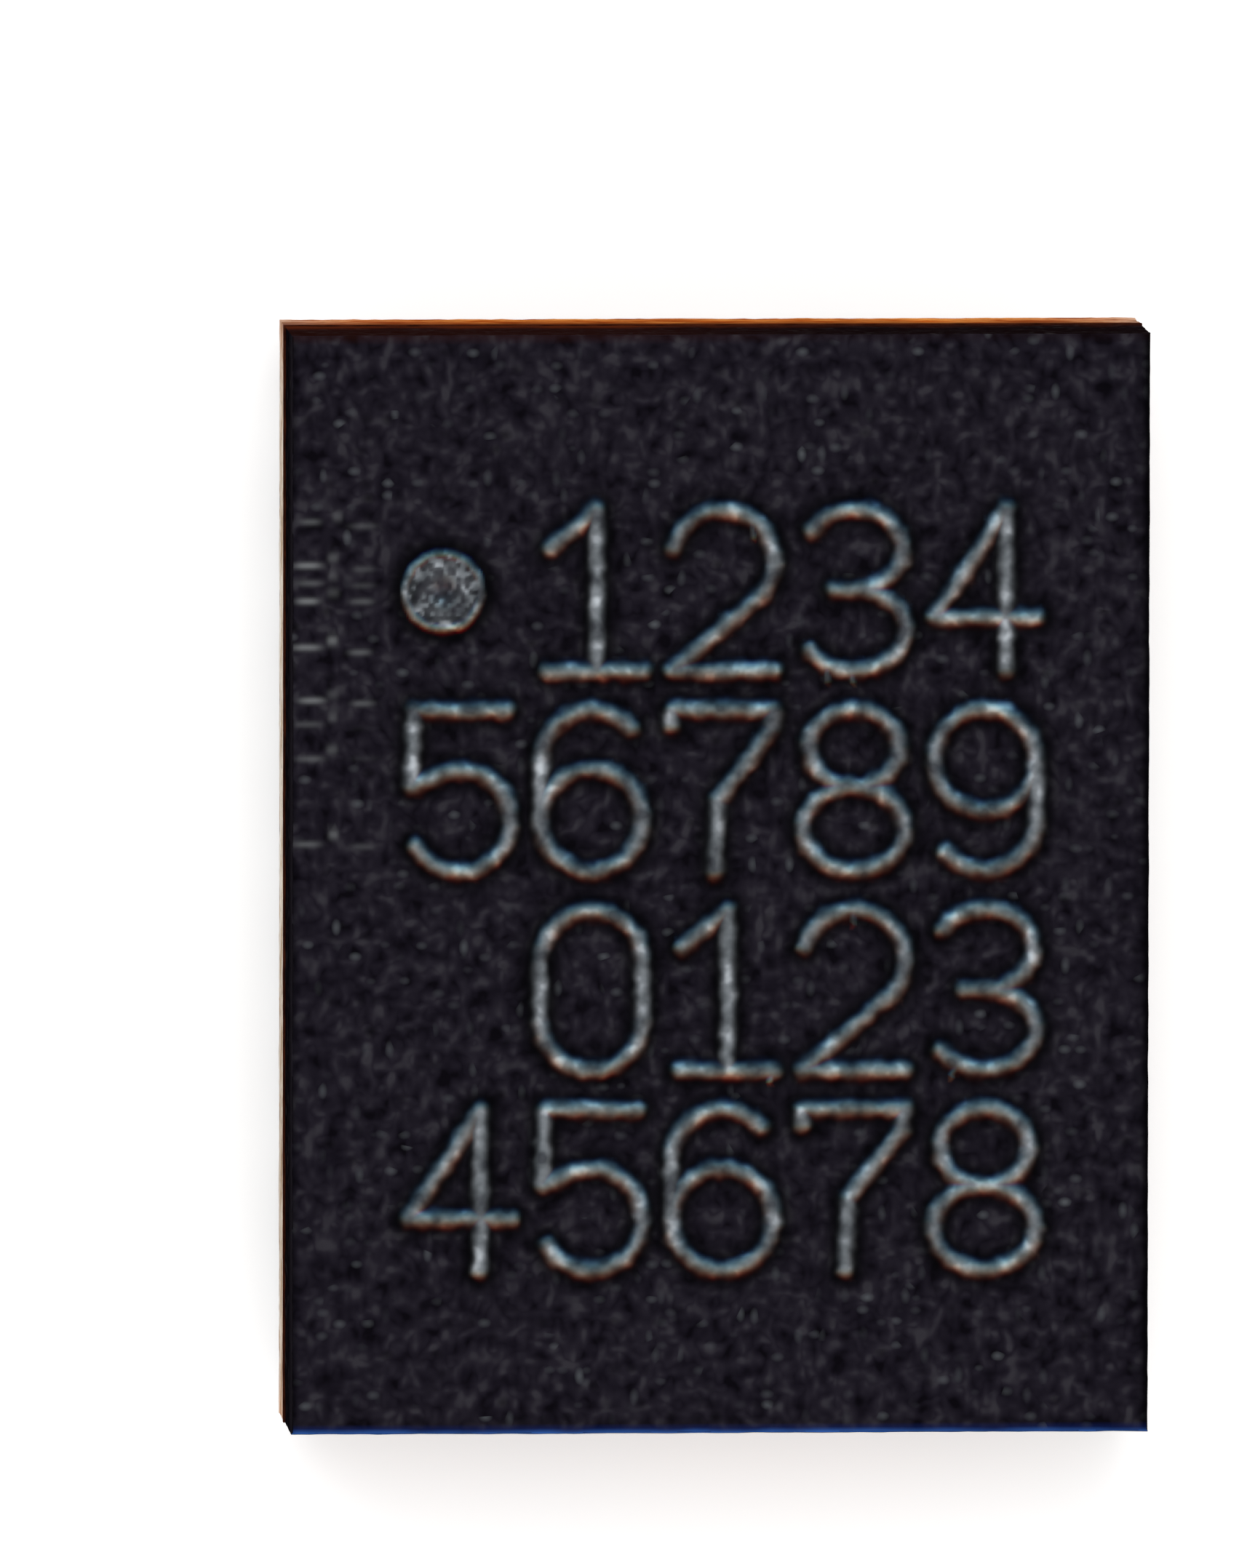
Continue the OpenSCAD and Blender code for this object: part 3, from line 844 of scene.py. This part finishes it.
def solder_ball(name, mask_z, number, material):
    """A reflowed ball: a sphere cut off at the mask, with a neck into the opening and small dimples."""
    low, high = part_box(name)
    middle = (low + high) / 2
    radius = (high.x - low.x) / 2
    cut = math.acos((radius - mask_z) / radius)
    angles = np.linspace(0, cut, BALL_RINGS)[1:]
    turn = np.linspace(0, 2 * math.pi, BALL_SEGMENTS, endpoint=False)
    a, t = np.meshgrid(angles, turn, indexing="ij")
    unit = np.stack([np.sin(a) * np.cos(t), np.sin(a) * np.sin(t), -np.cos(a)], -1).reshape(-1, 3)
    reach = radius * (1 - dimples(unit, np.random.default_rng(BALL_SEED + number)))
    body = unit * reach[:, None] + (middle.x, middle.y, low.z + radius)
    body[:, 2] = np.maximum(body[:, 2], low.z)
    neck_r = radius * math.sin(cut) - 0.01 * MM
    x, y = middle.x + neck_r * np.cos(turn), middle.y + neck_r * np.sin(turn)
    necks = [np.stack([x, y, np.full(turn.shape, z)], -1) for z in (mask_z + 0.002 * MM, high.z)]
    points = np.concatenate([[(middle.x, middle.y, low.z)], body, *necks])
    faces = ring_faces(len(angles) + len(necks), BALL_SEGMENTS)
    piece = make_piece("solder_" + name, points, faces, name, [material])
    from_middle = np.hypot(points[:, 0] - middle.x, points[:, 1] - middle.y) / radius
    crown = (1 - smooth_step(0.3, 0.78, from_middle)) * (points[:, 2] < low.z + radius)
    add_values(piece, "crown", 0.9 * crown)


def dress_hidden_layers(nodes, solder):
    """The CAD nodes whose shape is right as it is get their own finish."""
    fine = 0.002 * MM
    copper = metal_material("etched_copper", (0.62, 0.24, 0.1), (0.86, 0.45, 0.26), 14.0, 0.3, 0.5, fine)
    bright = metal_material("plated_copper", (0.8, 0.46, 0.26), (0.95, 0.72, 0.5), 18.0, 0.22, 0.4, fine)
    silicon = plain_material("silicon", (0.1, 0.105, 0.12), (0.2, 0.21, 0.235), 8.0, 0.25, fine / 2, 0.6)
    upper = plain_material("upper_mask", tone(40, 16, 10), tone(74, 34, 20), 16.0, 0.6, fine, gloss=0.0)
    plug = plain_material("via_resin", (0.3, 0.22, 0.12), (0.45, 0.36, 0.22), 20.0, 0.45, fine)
    finishes = {
        "silicon_die": silicon,
        "copper_pillars": copper,
        "pillar_solder": solder,
        "top_solder_mask": upper,
        "top_copper": copper,
        "via_barrels": copper,
        "via_plugs": plug,
        "bottom_copper": copper,
        "end_bars": bright,
    }
    for name, material in finishes.items():
        data = nodes[name].data
        data.materials.clear()
        data.materials.append(material)


# ---------------------------------------------------------------- stage

# The camera: the height it takes in, its lens, its lean and roll, and its aim beside the top's middle
VIEW_HEIGHT = 4.403 * MM
LENS = 800.0
SENSOR = 36.0
LEAN_LEFT, LEAN_BACK = math.radians(3.4), math.radians(4.6)
ROLL = math.radians(0.08)
AIM = Vector((-0.2615 * MM, 0.2818 * MM))

LAMP_DISTANCE = 0.3
FLOOR_HALF = 2.0


def add_camera(top):
    """A long lens nearly straight above, leaning so that the -X and +Y walls just show."""
    data = bpy.data.cameras.new("camera")
    data.lens, data.sensor_width = LENS, SENSOR
    data.clip_start, data.clip_end = 1 * MM, 10.0
    back = Vector((-math.tan(LEAN_LEFT), math.tan(LEAN_BACK), 1)).normalized()
    right = Vector((0, 1, 0)).cross(back).normalized()
    up = back.cross(right)
    right, up = right * math.cos(ROLL) + up * math.sin(ROLL), up * math.cos(ROLL) - right * math.sin(ROLL)
    aim = top + right * AIM.x + up * AIM.y
    camera = bpy.data.objects.new("camera", data)
    camera.matrix_world = Matrix.Translation(aim + back * VIEW_HEIGHT * LENS / SENSOR) @ Matrix(
        (right, up, back)
    ).transposed().to_4x4()
    bpy.context.scene.collection.objects.link(camera)
    bpy.context.scene.camera = camera


def add_softbox(name, way, size, power):
    """A square lamp that faces the object from a direction."""
    data = bpy.data.lights.new(name, "AREA")
    data.size, data.energy = size, power
    lamp = bpy.data.objects.new(name, data)
    way = Vector(way).normalized()
    lamp.location = way * LAMP_DISTANCE
    lamp.rotation_euler = way.to_track_quat("Z", "Y").to_euler()
    lamp.visible_camera = False
    bpy.context.scene.collection.objects.link(lamp)


def add_floor():
    """A wide pale floor that keeps the object's shadow and reads white."""
    mesh = bpy.data.meshes.new("floor")
    corners = [(x * FLOOR_HALF, y * FLOOR_HALF, 0) for x, y in ((-1, -1), (1, -1), (1, 1), (-1, 1))]
    mesh.from_pydata(corners, [], [(0, 1, 2, 3)])
    floor = bpy.data.objects.new("floor", mesh)
    bpy.context.scene.collection.objects.link(floor)
    material, tree, shader = new_material("floor_white", Base_Color=(0.86, 0.86, 0.86, 1), Roughness=0.7)
    shader.inputs["Emission Color"].default_value = (1, 1, 1, 1)
    rays = add_node(tree, "LightPath")
    seen = calculate(tree, "MAXIMUM", rays.outputs["Is Camera Ray"], rays.outputs["Is Glossy Ray"])
    tree.links.new(calculate(tree, "MULTIPLY", seen, 0.35), shader.inputs["Emission Strength"])
    mesh.materials.append(material)


def add_world():
    """An even studio: white to the camera, and a little dimmer overhead for everything else."""
    world = bpy.data.worlds.new("studio")
    bpy.context.scene.world = world
    world.use_nodes = True
    tree = world.node_tree
    shade = tree.nodes["Background"]
    rays = add_node(tree, "LightPath")
    seen = calculate(tree, "MAXIMUM", rays.outputs["Is Camera Ray"], rays.outputs["Is Transmission Ray"])
    seen = calculate(tree, "MAXIMUM", seen, rays.outputs["Is Glossy Ray"])
    way = add_node(tree, "SeparateXYZ", {"Vector": add_node(tree, "TexCoord").outputs["Generated"]})
    level = spread(tree, way.outputs["Z"], 0.1, 0.9, 0.75, 0.3)
    strength = calculate(tree, "MAXIMUM", level, seen)
    tree.links.new(strength, shade.inputs["Strength"])
    shade.inputs["Color"].default_value = (1, 1, 1, 1)


# ---------------------------------------------------------------- build

def build():
    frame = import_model()
    cad_low, cad_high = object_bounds()
    nodes = frame["nodes"]
    bpy.context.scene.view_settings.view_transform = "Standard"
    add_camera(Vector((0, 0, cad_high.z)))

    mould_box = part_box("mold_cap")
    dot = mould_box[0].x + DOT_FROM_SIDE, mould_box[1].y - DOT_FROM_END
    mould_body(mould_box, dot, [top_material(), wall_material()])
    laminate_body(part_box("laminate_core"), laminate_material())
    mask_sheet(nodes, mask_material())
    solder = solder_material()
    mask_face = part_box("bottom_solder_mask")[0].z
    balls = sorted(name for name in nodes if name.startswith("ball_"))
    for number, name in enumerate(balls):
        solder_ball(name, mask_face, number, solder)
    dress_hidden_layers(nodes, solder)

    add_floor()
    add_world()
    add_softbox("key", (-0.12, 0.42, 1.0), 0.2, 0.5)
    add_softbox("fill", (0.35, -0.5, 0.9), 0.35, 0.3)


build()
